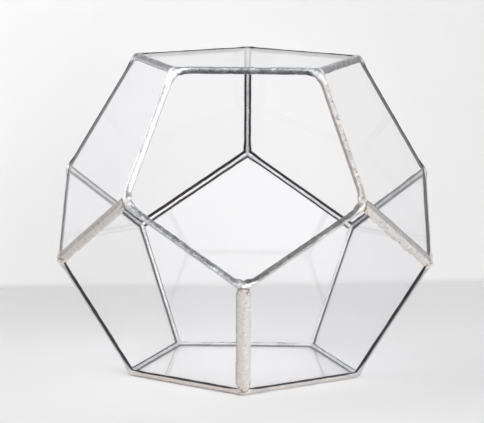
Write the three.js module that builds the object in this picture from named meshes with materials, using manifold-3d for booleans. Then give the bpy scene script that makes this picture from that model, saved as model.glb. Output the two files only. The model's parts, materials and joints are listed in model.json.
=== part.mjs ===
// An empty geometric glass terrarium: a regular dodecahedron of clear glass panes, joined the way
// stained glass is. Each pane has a thin metal foil folded round its edge. Solder runs along every
// corner line over the foil, as a rounded bead outside and a slim bead inside. The front upper
// face has no pane: it is the opening, and its five pane edges carry a rounded solder rim.
// Units are millimetres, +Z is up, and the front faces -Y. The origin is under the middle of the
// base, on the surface that the terrarium stands on.

import * as THREE from "three";
import { mergeVertices } from "three/addons/utils/BufferGeometryUtils.js";
import Module from "manifold-3d";

const wasm = await Module();
wasm.setup();

// Driving dimensions

const EDGE = 90; // corner to corner along one line of the dodecahedron
const GLASS = 3; // thickness of a pane
const PANE_INSET = 2.8; // from a corner line to the glass edge, in the pane's plane
const FOIL = 0.2; // thickness of the foil
const FIT = 0.1; // between glass and foil, and between foil and solder
const FOIL_OUTER_LIP = 3.7; // from a corner line to the foil's outside hem
const FOIL_INNER_LIP = 4.6; // from a corner line to its inside hem, which shows beside the bead
const BEAD_REACH = 3.8; // half-width of a seam's outer bead, in a pane's plane
const WIDE_BEAD_REACH = 5.5; // the same on the seams that leave the opening's low corners
const BEAD_CREST = 0.45; // outer bead above the corner line
const INNER_BEAD_REACH = 1.15; // half-width of the inner bead, from the inner corner
const INNER_BEAD_CREST = 0.55; // how far the inner bead bulges
const RIM_REACH = 3.9; // from a corner line to where the rim bead ends on its pane
const RIM_PROUD = 0.95; // rim bead above the glass faces
const RIM_NOSE = 1.5; // solder past the foiled glass edge at the opening
const OPENING_CORNER = 5.5; // radius of the opening's rounded corners
const OPENING_WEB = 3; // thickness of the solder that rounds those corners
const BASE_FLAT = 0.6; // the base beads' flat, below the base pane
const JOINT_GAP = 0.3; // between the ends of neighbouring beads
const BEAD_FACETS = 10;
const SMALL_FACETS = 4;

// How far a shape runs on past the place where another one cuts it

const PAST_CORNER = 8; // a bar, beyond both ends of its corner line
const PAST_LINE = 1.3; // a line's share of space, as a multiple of the line's own height
const PAST_BEAD = 16; // a cutting block, beyond the bead that it trims
const PAST_MITRE = 0.3; // radians of an opening corner's arc, beyond the mitre
const WEB_OVERRUN = 4; // the corner's web, beyond the end of the line

// The regular dodecahedron, from its edge

const SIDES = 5;
const GOLDEN = (1 + Math.sqrt(5)) / 2;
const HALF_DIHEDRAL = Math.atan(GOLDEN);
const HALF_CORNER = THREE.MathUtils.degToRad(54); // half the angle of a pentagon's corner
const MID_RADIUS = (EDGE * GOLDEN ** 2) / 2; // centre to the middle of a corner line
const FACE_RADIUS = MID_RADIUS * Math.sin(HALF_DIHEDRAL); // centre to the middle of a face
const APOTHEM = (EDGE / 2) * Math.tan(HALF_CORNER); // middle of a face to its side
const CAP_RADIUS = EDGE / 2 / Math.cos(HALF_CORNER); // axis to the corners of the base and the top
const BELT_RADIUS = CAP_RADIUS * GOLDEN; // axis to the ten corners between
const BELT_RISE = Math.sqrt(EDGE ** 2 - (BELT_RADIUS - CAP_RADIUS) ** 2); // base to lower belt
const CENTRE_HEIGHT = FACE_RADIUS + BASE_FLAT;

const CLEARANCE = FIT + FOIL + FIT; // from the glass to the solder, across the foil
const SLOT_INSET = PANE_INSET - CLEARANCE;
const SLOT_DEPTH = GLASS + CLEARANCE;

const glassMaterial = new THREE.MeshStandardMaterial({
  color: 0xe6ebec,
  roughness: 0.05,
  metalness: 0,
  transparent: true,
  opacity: 0.35,
});
const foilMaterial = new THREE.MeshStandardMaterial({ color: 0x2d2b2d, roughness: 0.4, metalness: 0.8 });
const solderMaterial = new THREE.MeshStandardMaterial({ color: 0xc4c6c9, roughness: 0.3, metalness: 0.95 });
const dullSolderMaterial = new THREE.MeshStandardMaterial({
  color: 0xcfc8c0,
  roughness: 0.6,
  metalness: 0.7,
});

// Corners of the dodecahedron, from its centre. Angles turn from the front towards +X.

function ringOfCorners(radius, height, firstDegrees) {
  return Array.from({ length: SIDES }, (_, i) => {
    const turn = THREE.MathUtils.degToRad(firstDegrees + (360 / SIDES) * i);
    return new THREE.Vector3(radius * Math.sin(turn), -radius * Math.cos(turn), height);
  });
}

const baseRing = ringOfCorners(CAP_RADIUS, -FACE_RADIUS, 0);
const lowerBelt = ringOfCorners(BELT_RADIUS, BELT_RISE - FACE_RADIUS, 0);
const upperBelt = ringOfCorners(BELT_RADIUS, FACE_RADIUS - BELT_RISE, 180 / SIDES);
const topRing = ringOfCorners(CAP_RADIUS, FACE_RADIUS, 180 / SIDES);
const after = (i) => (i + 1) % SIDES;
const before = (i) => (i + SIDES - 1) % SIDES;

// Solids and meshes

function toSolid(geometry) {
  const bare = geometry.clone();
  bare.deleteAttribute("normal");
  bare.deleteAttribute("uv");
  const merged = mergeVertices(bare, 1e-4);
  return new wasm.Manifold(
    new wasm.Mesh({
      numProp: 3,
      vertProperties: merged.attributes.position.array,
      triVerts: new Uint32Array(merged.index.array),
    }),
  );
}

function toGeometry(solid) {
  const mesh = solid.getMesh();
  const geometry = new THREE.BufferGeometry();
  geometry.setAttribute("position", new THREE.BufferAttribute(mesh.vertProperties, 3));
  geometry.setIndex(new THREE.BufferAttribute(mesh.triVerts, 1));
  geometry.computeVertexNormals();
  return geometry;
}

// A closed outline, extruded between two heights.
function slab(points, low, high) {
  const shape = new THREE.Shape(points);
  const geometry = new THREE.ExtrudeGeometry(shape, { depth: high - low, bevelEnabled: false });
  return geometry.translate(0, 0, low);
}

// Points along part of an ellipse, from one angle to another.
function ellipsePoints(centreX, centreY, radiusX, radiusY, from, to, facets) {
  return Array.from({ length: facets + 1 }, (_, i) => {
    const angle = from + ((to - from) * i) / facets;
    return new THREE.Vector2(centreX + radiusX * Math.cos(angle), centreY + radiusY * Math.sin(angle));
  });
}

// Points on the arc from one end to the other, which stands out by its rise to the left of that way.
function archPoints(from, to, rise, facets) {
  const half = from.distanceTo(to) / 2;
  const radius = (half ** 2 + rise ** 2) / (2 * rise);
  const way = to.clone().sub(from).normalize();
  const out = new THREE.Vector2(-way.y, way.x);
  const middle = from.clone().lerp(to, 0.5);
  const centre = middle.addScaledVector(out, rise - radius);
  const reach = Math.asin(half / radius);
  return Array.from({ length: facets + 1 }, (_, i) => {
    const angle = -reach + (2 * reach * i) / facets;
    const point = centre.clone().addScaledVector(way, radius * Math.sin(angle));
    return point.addScaledVector(out, radius * Math.cos(angle));
  });
}

// A corner line has its own frame: x across it, y along it, and z outwards through its middle.
// A section's point is given in the plane of the pane on its +x or -x side: how far in from the
// corner line, and how deep below the pane's outer face.
function inPane(inward, depth, side = 1) {
  return new THREE.Vector2(
    side * (inward * Math.sin(HALF_DIHEDRAL) - depth * Math.cos(HALF_DIHEDRAL)),
    -inward * Math.cos(HALF_DIHEDRAL) - depth * Math.sin(HALF_DIHEDRAL),
  );
}

function alongLine(section) {
  const end = EDGE / 2 + PAST_CORNER;
  return slab(section, -end, end).rotateX(Math.PI / 2).translate(0, 0, MID_RADIUS);
}

// The space that belongs to one corner line: a four-sided pyramid from the centre, through the
// line's two corners and the middles of its two faces, drawn in all round by half a joint gap.
function lineShare() {
  const height = MID_RADIUS * PAST_LINE;
  const halfLength = (height * EDGE) / 2 / MID_RADIUS;
  const halfWidth = height / GOLDEN;
  const wallLean = Math.hypot(height / halfWidth, height / halfLength, 1);
  const pyramid = new THREE.ConeGeometry(1, 1, 4).rotateX(-Math.PI / 2).translate(0, 0, 0.5);
  pyramid.scale(halfWidth, halfLength, height);
  return toSolid(pyramid.translate(0, 0, (JOINT_GAP / 2) * wallLean));
}

// Solder where two panes meet

function seamSection(reach) {
  const outerToe = inPane(reach, -CLEARANCE);
  const outerCrest = BEAD_CREST - outerToe.y;
  const innerInset = SLOT_DEPTH / Math.tan(HALF_DIHEDRAL) + INNER_BEAD_REACH;
  return [
    ...archPoints(inPane(reach, -CLEARANCE, -1), outerToe, outerCrest, BEAD_FACETS),
    inPane(SLOT_INSET, -CLEARANCE),
    inPane(SLOT_INSET, SLOT_DEPTH),
    ...archPoints(
      inPane(innerInset, SLOT_DEPTH),
      inPane(innerInset, SLOT_DEPTH, -1),
      INNER_BEAD_CREST,
      SMALL_FACETS,
    ),
    inPane(SLOT_INSET, SLOT_DEPTH, -1),
    inPane(SLOT_INSET, -CLEARANCE, -1),
  ];
}

function seamSolid(reach) {
  return toSolid(alongLine(seamSection(reach))).intersect(lineShare());
}

// A seam under the base pane, which is on its +x side, has its bead filed to a flat to stand on.
function baseSeamSolid() {
  const filedOff = [
    inPane(-PAST_BEAD, -BASE_FLAT),
    inPane(PAST_BEAD, -BASE_FLAT),
    inPane(PAST_BEAD, -PAST_BEAD),
    inPane(-PAST_BEAD, -PAST_BEAD),
  ];
  return seamSolid(BEAD_REACH).subtract(toSolid(alongLine(filedOff)));
}

// Solder round the opening

// The rim wraps the free edge of the pane on the +x side: a toe on each face and a round nose.
function rimSection() {
  const crestInset = (SLOT_INSET + RIM_REACH) / 2 - RIM_NOSE / 2;
  const noseInset = SLOT_INSET - RIM_NOSE;
  const toeLength = RIM_REACH - crestInset;
  const toeHeight = RIM_PROUD - CLEARANCE;
  const outline = [
    ...ellipsePoints(
      crestInset, -CLEARANCE, toeLength, toeHeight, 0, -Math.PI / 2, SMALL_FACETS,
    ),
    ...ellipsePoints(
      crestInset,
      GLASS / 2,
      crestInset - noseInset,
      GLASS / 2 + RIM_PROUD,
      -Math.PI / 2,
      (-3 * Math.PI) / 2,
      BEAD_FACETS,
    ).slice(1),
    ...ellipsePoints(
      crestInset, SLOT_DEPTH, toeLength, toeHeight, Math.PI / 2, 0, SMALL_FACETS,
    ).slice(1),
    new THREE.Vector2(SLOT_INSET, SLOT_DEPTH),
    new THREE.Vector2(SLOT_INSET, -CLEARANCE),
  ];
  return outline.map((point) => inPane(point.x, point.y));
}

// The rim's own middle line and reach, seen in the plane of the opening on its -x side.
function rimInOpening() {
  const middle = inPane(SLOT_INSET, GLASS / 2);
  const depth = middle.x * Math.cos(HALF_DIHEDRAL) - middle.y * Math.sin(HALF_DIHEDRAL);
  const inward = -middle.x * Math.sin(HALF_DIHEDRAL) - middle.y * Math.cos(HALF_DIHEDRAL);
  return { depth, inward, edge: inward + GLASS / 2 + RIM_PROUD / 2 };
}

// The solder that rounds off one end of the opening's side: from the rim to a hollow arc.
function openingCornerSolid(end) {
  const { depth, inward, edge } = rimInOpening();
  const arcInward = edge + OPENING_CORNER;
  const arcAlong = EDGE / 2 - arcInward / Math.tan(HALF_CORNER);
  const arcEnd = HALF_CORNER - Math.PI / 2 + PAST_MITRE;
  const arc = ellipsePoints(
    arcAlong, arcInward, OPENING_CORNER, OPENING_CORNER, -Math.PI / 2, arcEnd, SMALL_FACETS * 2,
  );
  const outline = [
    new THREE.Vector2(arcAlong, inward),
    ...arc,
    new THREE.Vector2(EDGE / 2 + WEB_OVERRUN, inward),
  ];
  const piece = slab(
    outline.map((point) => new THREE.Vector2(end * point.x, point.y)),
    -depth - OPENING_WEB / 2,
    -depth + OPENING_WEB / 2,
  );
  const across = new THREE.Vector3(-Math.sin(HALF_DIHEDRAL), 0, -Math.cos(HALF_DIHEDRAL));
  const outwards = new THREE.Vector3(-Math.cos(HALF_DIHEDRAL), 0, Math.sin(HALF_DIHEDRAL));
  const toLine = new THREE.Matrix4().makeBasis(new THREE.Vector3(0, 1, 0), across, outwards);
  return toSolid(piece.applyMatrix4(toLine).translate(0, 0, MID_RADIUS));
}

function rimSolid() {
  const paneSlot = [
    inPane(SLOT_INSET, -CLEARANCE),
    inPane(PAST_BEAD, -CLEARANCE),
    inPane(PAST_BEAD, SLOT_DEPTH),
    inPane(SLOT_INSET, SLOT_DEPTH),
  ];
  return toSolid(alongLine(rimSection()))
    .add(openingCornerSolid(1))
    .add(openingCornerSolid(-1))
    .subtract(toSolid(alongLine(paneSlot)))
    .intersect(lineShare());
}

// Panes and their foil. A face has its own frame: z outwards, and y towards one of its corners.

function pentagon(inset) {
  const radius = (APOTHEM - inset) / Math.sin(HALF_CORNER);
  return Array.from({ length: SIDES }, (_, i) => {
    const turn = (2 * Math.PI * i) / SIDES;
    return new THREE.Vector2(-radius * Math.sin(turn), radius * Math.cos(turn));
  });
}

function plate(inset, depthFrom, depthTo) {
  return slab(pentagon(inset), FACE_RADIUS - depthTo, FACE_RADIUS - depthFrom);
}

function foilSolid() {
  const skin = FIT + FOIL;
  return toSolid(plate(PANE_INSET - skin, -skin, GLASS + skin))
    .subtract(toSolid(plate(PANE_INSET - FIT, -FIT, GLASS + FIT)))
    .subtract(toSolid(plate(FOIL_OUTER_LIP, -GLASS, GLASS / 2)))
    .subtract(toSolid(plate(FOIL_INNER_LIP, GLASS / 2, 2 * GLASS)));
}

// Assembly

const terrarium = new THREE.Group();
const body = new THREE.Group();
body.position.z = CENTRE_HEIGHT;
terrarium.add(body);

function place(name, geometry, material, xAxis, yAxis, zAxis) {
  const mesh = new THREE.Mesh(geometry, material);
  mesh.name = name;
  mesh.quaternion.setFromRotationMatrix(new THREE.Matrix4().makeBasis(xAxis, yAxis, zAxis));
  body.add(mesh);
}

// Places a piece on the line between two corners, with the face through "beside" on its +x side.
function placeOnLine(name, geometry, material, start, end, beside) {
  const outwards = start.clone().add(end).normalize();
  const along = end.clone().sub(start).normalize();
  const across = along.clone().cross(outwards);
  if (beside && across.dot(beside) < 0) {
    along.negate();
    across.negate();
  }
  place(name, geometry, material, across, along, outwards);
}

function placeOnFace(name, geometry, material, corners) {
  const outwards = sumOf(corners).normalize();
  const towardsCorner = corners[0].clone().projectOnPlane(outwards).normalize();
  place(name, geometry, material, towardsCorner.clone().cross(outwards), towardsCorner, outwards);
}

const paneGeometry = plate(PANE_INSET, 0, GLASS);
const foilGeometry = toGeometry(foilSolid());
const seamGeometry = toGeometry(seamSolid(BEAD_REACH));
const wideSeamGeometry = toGeometry(seamSolid(WIDE_BEAD_REACH));
const baseSeamGeometry = toGeometry(baseSeamSolid());
const rimGeometry = toGeometry(rimSolid());

function placePane(name, corners) {
  placeOnFace("pane_" + name, paneGeometry, glassMaterial, corners);
  placeOnFace("foil_" + name, foilGeometry, foilMaterial, corners);
}

// Faces: number 0 is the one just right of the front below, and the front one above.

function lowerFace(i) {
  return [baseRing[i], baseRing[after(i)], lowerBelt[after(i)], upperBelt[i], lowerBelt[i]];
}

function upperFace(i) {
  return [topRing[before(i)], topRing[i], upperBelt[i], lowerBelt[i], upperBelt[before(i)]];
}

function sumOf(corners) {
  return corners.reduce((sum, point) => sum.add(point), new THREE.Vector3());
}

placePane("base", baseRing);
placePane("top", topRing);
for (let i = 0; i < SIDES; i++) {
  placePane("lower_" + i, lowerFace(i));
  if (i > 0) {
    placePane("upper_" + i, upperFace(i));
  }
}

// Seams, by where they run. The ones that border the opening are left to the rim.

const LAST = SIDES - 1;
const towardsBase = sumOf(baseRing);
for (let i = 0; i < SIDES; i++) {
  const legIsWide = i === 0;
  placeOnLine(
    "seam_base_" + i,
    baseSeamGeometry,
    solderMaterial,
    baseRing[i],
    baseRing[after(i)],
    towardsBase,
  );
  placeOnLine(
    "seam_leg_" + i,
    legIsWide ? wideSeamGeometry : seamGeometry,
    legIsWide ? dullSolderMaterial : solderMaterial,
    baseRing[i],
    lowerBelt[i],
  );
  if (i > 0) {
    const isWide = i === LAST;
    placeOnLine(
      "seam_belt_rise_" + i,
      isWide ? wideSeamGeometry : seamGeometry,
      isWide ? dullSolderMaterial : solderMaterial,
      lowerBelt[i],
      upperBelt[i],
    );
  }
  if (i < LAST) {
    const isWide = i === 0;
    placeOnLine(
      "seam_belt_fall_" + i,
      isWide ? wideSeamGeometry : seamGeometry,
      isWide ? dullSolderMaterial : solderMaterial,
      upperBelt[i],
      lowerBelt[after(i)],
    );
    placeOnLine("seam_top_" + i, seamGeometry, solderMaterial, topRing[i], topRing[after(i)]);
  }
  if (i > 0 && i < LAST) {
    placeOnLine("seam_shoulder_" + i, seamGeometry, solderMaterial, upperBelt[i], topRing[i]);
  }
}

const rims = [
  ["rim_top", topRing[LAST], topRing[0], topRing],
  ["rim_upper_right", topRing[0], upperBelt[0], upperFace(1)],
  ["rim_lower_right", upperBelt[0], lowerBelt[0], lowerFace(0)],
  ["rim_lower_left", lowerBelt[0], upperBelt[LAST], lowerFace(LAST)],
  ["rim_upper_left", upperBelt[LAST], topRing[LAST], upperFace(LAST)],
];
for (const [name, start, end, pane] of rims) {
  placeOnLine(name, rimGeometry, solderMaterial, start, end, sumOf(pane));
}

export default terrarium;
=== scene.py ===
"""An empty faceted terrarium: clear glass panes with foiled edges, joined by solder.

The panes come from the frame. Foil, seams and the opening's rim are modelled here over the
same corner lines, in metres, with +Z up and the opening towards -Y.
"""

import json
import math
from dataclasses import dataclass, field

import bmesh
import bpy
from bpy.props import FloatProperty, FloatVectorProperty, IntProperty, PointerProperty
from mathutils import Matrix, Vector, noise

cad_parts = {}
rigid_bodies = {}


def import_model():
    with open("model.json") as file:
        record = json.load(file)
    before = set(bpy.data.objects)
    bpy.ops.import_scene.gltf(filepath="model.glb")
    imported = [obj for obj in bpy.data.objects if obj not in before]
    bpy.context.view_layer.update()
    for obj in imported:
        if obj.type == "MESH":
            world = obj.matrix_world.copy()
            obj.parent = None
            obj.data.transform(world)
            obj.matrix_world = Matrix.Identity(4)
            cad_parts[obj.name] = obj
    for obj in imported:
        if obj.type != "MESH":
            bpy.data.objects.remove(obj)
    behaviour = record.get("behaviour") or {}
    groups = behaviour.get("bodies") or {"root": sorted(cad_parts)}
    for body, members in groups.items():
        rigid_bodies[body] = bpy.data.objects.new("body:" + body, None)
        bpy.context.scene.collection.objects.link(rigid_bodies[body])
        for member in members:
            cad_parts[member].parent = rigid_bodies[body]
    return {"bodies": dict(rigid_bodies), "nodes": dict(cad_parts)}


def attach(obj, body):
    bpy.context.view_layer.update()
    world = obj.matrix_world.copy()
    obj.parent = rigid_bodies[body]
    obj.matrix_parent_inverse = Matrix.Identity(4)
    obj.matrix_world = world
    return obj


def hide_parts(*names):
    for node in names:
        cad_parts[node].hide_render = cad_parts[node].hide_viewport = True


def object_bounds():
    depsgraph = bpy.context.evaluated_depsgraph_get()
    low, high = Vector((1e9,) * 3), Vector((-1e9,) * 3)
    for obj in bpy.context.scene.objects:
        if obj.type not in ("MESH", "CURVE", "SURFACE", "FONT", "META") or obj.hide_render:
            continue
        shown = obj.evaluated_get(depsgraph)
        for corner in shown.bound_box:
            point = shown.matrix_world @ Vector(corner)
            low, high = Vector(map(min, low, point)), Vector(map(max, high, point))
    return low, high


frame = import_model()
CAD_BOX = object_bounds()

bl_info = {
    "name": "Faceted glass terrarium",
    "version": (1, 0, 0),
    "blender": (4, 5, 0),
    "location": "3D View > Sidebar > Terrarium",
    "description": "Foils, solders and lights an empty terrarium of pentagonal glass panes",
    "category": "Object",
}


# Sizes, finishes and studio settings


def number(name, description, default, **how):
    return FloatProperty(name=name, description=description, default=default, min=0.0, **how)


def length(*told):
    return number(*told, precision=5, unit="LENGTH", subtype="DISTANCE")


def share(*told):
    return number(*told, max=1.0, subtype="FACTOR")


def power(*told):
    return number(*told, unit="POWER")


def colour(name, description, default):
    return FloatVectorProperty(
        name=name, description=description, default=default, size=3, min=0.0, max=1.0,
        subtype="COLOR",
    )


class TerrariumSizes(bpy.types.PropertyGroup):
    edge: length("Corner line", "Corner to corner along one line of the dodecahedron", 0.090)
    glass: length("Glass", "Thickness of a pane", 0.003)
    pane_inset: length("Pane inset", "From a corner line to the glass edge", 0.0028)
    base_flat: length("Base flat", "From the surface it stands on up to the base pane", 0.0006)
    bead_reach: length("Bead reach", "Half-width of a seam's outer bead along a pane", 0.0038)
    wide_reach: length("Wide bead reach", "Half-width of the three wide seams", 0.0055)
    bead_crest: length("Bead crest", "Outer bead above the corner line", 0.00045)
    inner_reach: length("Inner bead reach", "Half-width of the inner bead", 0.00115)
    inner_crest: length("Inner bead crest", "How far the inner bead bulges", 0.00055)
    rim_reach: length("Rim reach", "From a corner line to where the rim ends on its pane", 0.0039)
    rim_proud: length("Rim height", "Rim above the glass faces", 0.00095)
    rim_nose: length("Rim nose", "Solder past the foiled edge at the opening", 0.0015)
    opening_corner: length("Opening corner", "Radius of the opening's rounded corners", 0.0055)
    foil: length("Foil", "Thickness of the foil", 0.00006)
    foil_outer: length("Outer foil hem", "From a corner line to the foil's outside hem", 0.0037)
    foil_inner: length("Inner foil hem", "From a corner line to the foil's inside hem", 0.0046)
    rings: IntProperty(
        name="Rings", description="Steps along each solder bar", default=140, min=12, max=160,
    )


class TerrariumFinishes(bpy.types.PropertyGroup):
    # Painted shade: the grey that darkens some panes, each by its own amount
    glass_painted_shade: colour("Grey glass", "Tint of the greyest pane", (0.90, 0.909, 0.924))
    glass_tint: colour("Glass tint", "Colour that light takes in the glass", (0.998, 0.996, 0.997))
    solder: colour("Solder", "Bright solder", (0.92, 0.925, 0.935))
    solder_dark: colour("Solder patina", "Oxidised patches of bright solder", (0.42, 0.43, 0.46))
    # Tarnish and painted shade: the near-black of the darkest lines, mostly painted shade
    solder_tarnish_and_shade: colour("Solder tarnish", "Darkest tarnish of some lines", (0.065, 0.068, 0.075))
    solder_warm: colour("Warm solder", "Beige film on the base's front seams", (0.86, 0.76, 0.70))
    solder_cool: colour("Cool solder", "Bluish cast of some of the lines", (0.84, 0.90, 1.0))
    dull_solder: colour("Dull solder", "Matt solder of the wide seams", (0.83, 0.777, 0.728))
    # Tarnish and painted shade on the wide seams
    dull_tarnish_and_shade: colour("Dull tarnish", "Tarnish of the wide seams", (0.33, 0.315, 0.305))
    rust: colour("Copper stain", "Warm spots where the foil shows through", (0.25, 0.16, 0.12))
    foil: colour("Foil", "Blackened foil", (0.050, 0.045, 0.043))
    foil_copper: colour("Foil hem", "Coppery tint along the foil's hem", (0.20, 0.09, 0.075))
    shine: share("Shine", "Roughness of the bright solder", 0.17)


class TerrariumStudio(bpy.types.PropertyGroup):
    floor: colour("Floor", "Matt floor", (0.86, 0.86, 0.868))
    wall: colour("Wall", "Matt backdrop", (0.823, 0.816, 0.820))
    # Painted shade: how bright the floor is painted at its far side against its near side
    floor_depth: share("Floor depth", "Brightness of the floor's far side to its near side", 0.87)
    # Painted shade: how bright the wall is painted at its foot, where it meets the floor
    wall_foot: share("Wall foot", "Brightness of the wall where it meets the floor", 0.88)
    dim: colour("Studio", "Light from the unlit part of the room", (0.01, 0.01, 0.01))
    pale: colour("Surroundings", "What shows where there is no floor or wall", (0.88, 0.88, 0.89))
    key_power: power("Left softbox", "Power of the large softbox", 2.5)
    fill_power: power("Weaker softboxes", "Power of the right and of the front softbox", 1.25)
    wall_power: power("Wall light", "Power of the lamp over the backdrop", 1.25)


# The dodecahedron, seen from its centre

SIDES = 5
GOLDEN = (1 + math.sqrt(5)) / 2
HALF_DIHEDRAL = math.atan(GOLDEN)
HALF_CORNER = math.radians(54)
OPENING = "upper_0"
WIDE_LINES = ({"B0", "L0"}, {"L4", "U4"}, {"U0", "L1"})


def mid_radius(sizes):
    return sizes.edge * GOLDEN ** 2 / 2


def face_radius(sizes):
    return mid_radius(sizes) * math.sin(HALF_DIHEDRAL)


def centre(sizes):
    return Vector((0, 0, face_radius(sizes) + sizes.base_flat))


def corners(sizes):
    """The twenty corners: base, lower belt, upper belt and top, from the front towards +X."""
    cap = sizes.edge / 2 / math.cos(HALF_CORNER)
    belt = cap * GOLDEN
    top = face_radius(sizes)
    rise = math.sqrt(sizes.edge ** 2 - (belt - cap) ** 2)
    rings = {
        "B": (cap, -top, 0), "L": (belt, rise - top, 0),
        "U": (belt, top - rise, 36), "T": (cap, top, 36),
    }
    found = {}
    for letter, (radius, height, first) in rings.items():
        for i in range(SIDES):
            turn = math.radians(first + 72 * i)
            found[f"{letter}{i}"] = Vector(
                (radius * math.sin(turn), -radius * math.cos(turn), height)
            )
    return found


def faces():
    """The corners of each face, with the first one up in the face's own frame."""
    found = {"base": [f"B{i}" for i in range(SIDES)], "top": [f"T{i}" for i in range(SIDES)]}
    for i in range(SIDES):
        after, before = (i + 1) % SIDES, (i - 1) % SIDES
        found[f"lower_{i}"] = [f"B{i}", f"B{after}", f"L{after}", f"U{i}", f"L{i}"]
        found[f"upper_{i}"] = [f"T{before}", f"T{i}", f"U{i}", f"L{i}", f"U{before}"]
    return found


def lines():
    """Each corner line: its two corners, and the faces on both sides of it."""
    beside = {}
    for face, names in faces().items():
        for a, b in zip(names, names[1:] + names[:1]):
            beside.setdefault(tuple(sorted((a, b))), []).append(face)
    return beside


# Sections of the solder, in the frame of a corner line: u across it and w outwards

AROUND = 26
HALF = AROUND // 2
OUTER_STEPS = 6
INNER_STEPS = 4
PLAIN, WIDE, RIM = range(3)
# How far solder stays off the glass, and how round a joint is on the opening's side
SKIN = 0.00012
JOINT_BULGE = 0.62


def angles(whole, steps):
    return [whole * i / steps for i in range(steps + 1)]


def in_pane(inward, depth):
    """A point beside the pane on the +u side, by how far in and how deep below its outer face."""
    return Vector((
        inward * math.sin(HALF_DIHEDRAL) - depth * math.cos(HALF_DIHEDRAL),
        -inward * math.cos(HALF_DIHEDRAL) - depth * math.sin(HALF_DIHEDRAL),
    ))


def half_arch(toe, crest, steps):
    """Points of the arc over both toes, from its crest down to the toe."""
    rise = crest - toe.y
    radius = (toe.x ** 2 + rise ** 2) / (2 * rise)
    reach = math.asin(max(-1.0, min(1.0, toe.x / radius)))
    if abs(rise) > toe.x:
        reach = math.copysign(math.pi, radius) - reach
    return [
        Vector((radius * math.sin(a), crest - radius + radius * math.cos(a)))
        for a in angles(reach, steps)
    ]


def quarter(middle, across, down, steps):
    """Points of a quarter ellipse, from its crest to its toe."""
    return [
        middle + Vector((across * math.sin(a), -down * math.cos(a)))
        for a in angles(math.pi / 2, steps)
    ]


def slot_walls(sizes):
    """The two points where solder meets the glass edge, with the foil's room beside it."""
    inset = sizes.pane_inset - SKIN
    return [in_pane(inset, -SKIN), in_pane(inset, sizes.glass + SKIN)]


def seam_half(sizes, reach, crest, inner_reach):
    """Half of a seam's section: crest, outer toe, the slot for the pane, inner toe, inner crest."""
    depth = sizes.glass + SKIN
    inner_toe = in_pane(depth / math.tan(HALF_DIHEDRAL) + inner_reach, depth)
    outer = half_arch(in_pane(reach, -SKIN), crest, OUTER_STEPS)
    inner = half_arch(inner_toe, inner_toe.y - sizes.inner_crest, INNER_STEPS)
    return outer + slot_walls(sizes) + inner[::-1]


def rim_halves(sizes, reach, proud):
    """The rim's section on its pane's side, and round the nose on the opening's side."""
    crest = sizes.pane_inset - SKIN
    nose = crest - sizes.rim_nose
    outer = quarter(Vector((crest, -SKIN)), reach - crest, proud - SKIN, OUTER_STEPS)
    inner = quarter(Vector((crest, sizes.glass + SKIN)), reach - crest, SKIN - proud, INNER_STEPS)
    pane = [in_pane(*p) for p in outer] + slot_walls(sizes) + [in_pane(*p) for p in inner[::-1]]
    middle = sizes.glass / 2
    opening = [
        in_pane(crest - (crest - nose) * math.sin(a), middle - (middle + proud) * math.cos(a))
        for a in angles(math.pi, HALF)
    ]
    return pane, opening


def joint_opening(crest, inner):
    """The opening's side of a rim where it reaches a corner."""
    middle, half = (crest + inner) / 2, (crest - inner) / 2
    return [
        Vector((-JOINT_BULGE * half * math.sin(a), middle + half * math.cos(a)))
        for a in angles(math.pi, HALF)
    ]


def ease(x):
    x = max(0.0, min(1.0, x))
    return x * x * (3 - 2 * x)


def blend(a, b, f):
    return [p.lerp(q, f) for p, q in zip(a, b)]


# Looks of the corner lines


@dataclass
class Look:
    """How one corner line differs from the rest: partly as the solderer's hand left it, partly by
    painted shade and painted dark reflections.

    The width is a factor on the bead's reach, and the sink lowers its crest. Patina, tarnish mixed
    with painted shade, darkens the bead, or only the half on a face in "sides". Free patina,
    tarnish mixed with painted dark reflection, darkens the opening's side of a rim, or a stripe of
    it, by its middle and half width as angles from the crest. The foil's inside hems, the toes
    (painted shade along the bead's edges) and the rags (its jagged edges) go by their face.
    """

    width: float = 1.0
    lumps: float = 1.0
    patina: float = 0.0
    free_tarnish_and_painted_reflection: float = 0.0
    warm: float = 0.0
    cool: float = 0.0
    hem: float = 0.0
    sink: float = 0.0
    stripe: tuple = ()
    sides: dict = field(default_factory=dict)
    hems: dict = field(default_factory=dict)
    toes: dict = field(default_factory=dict)
    rags: dict = field(default_factory=dict)


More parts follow.
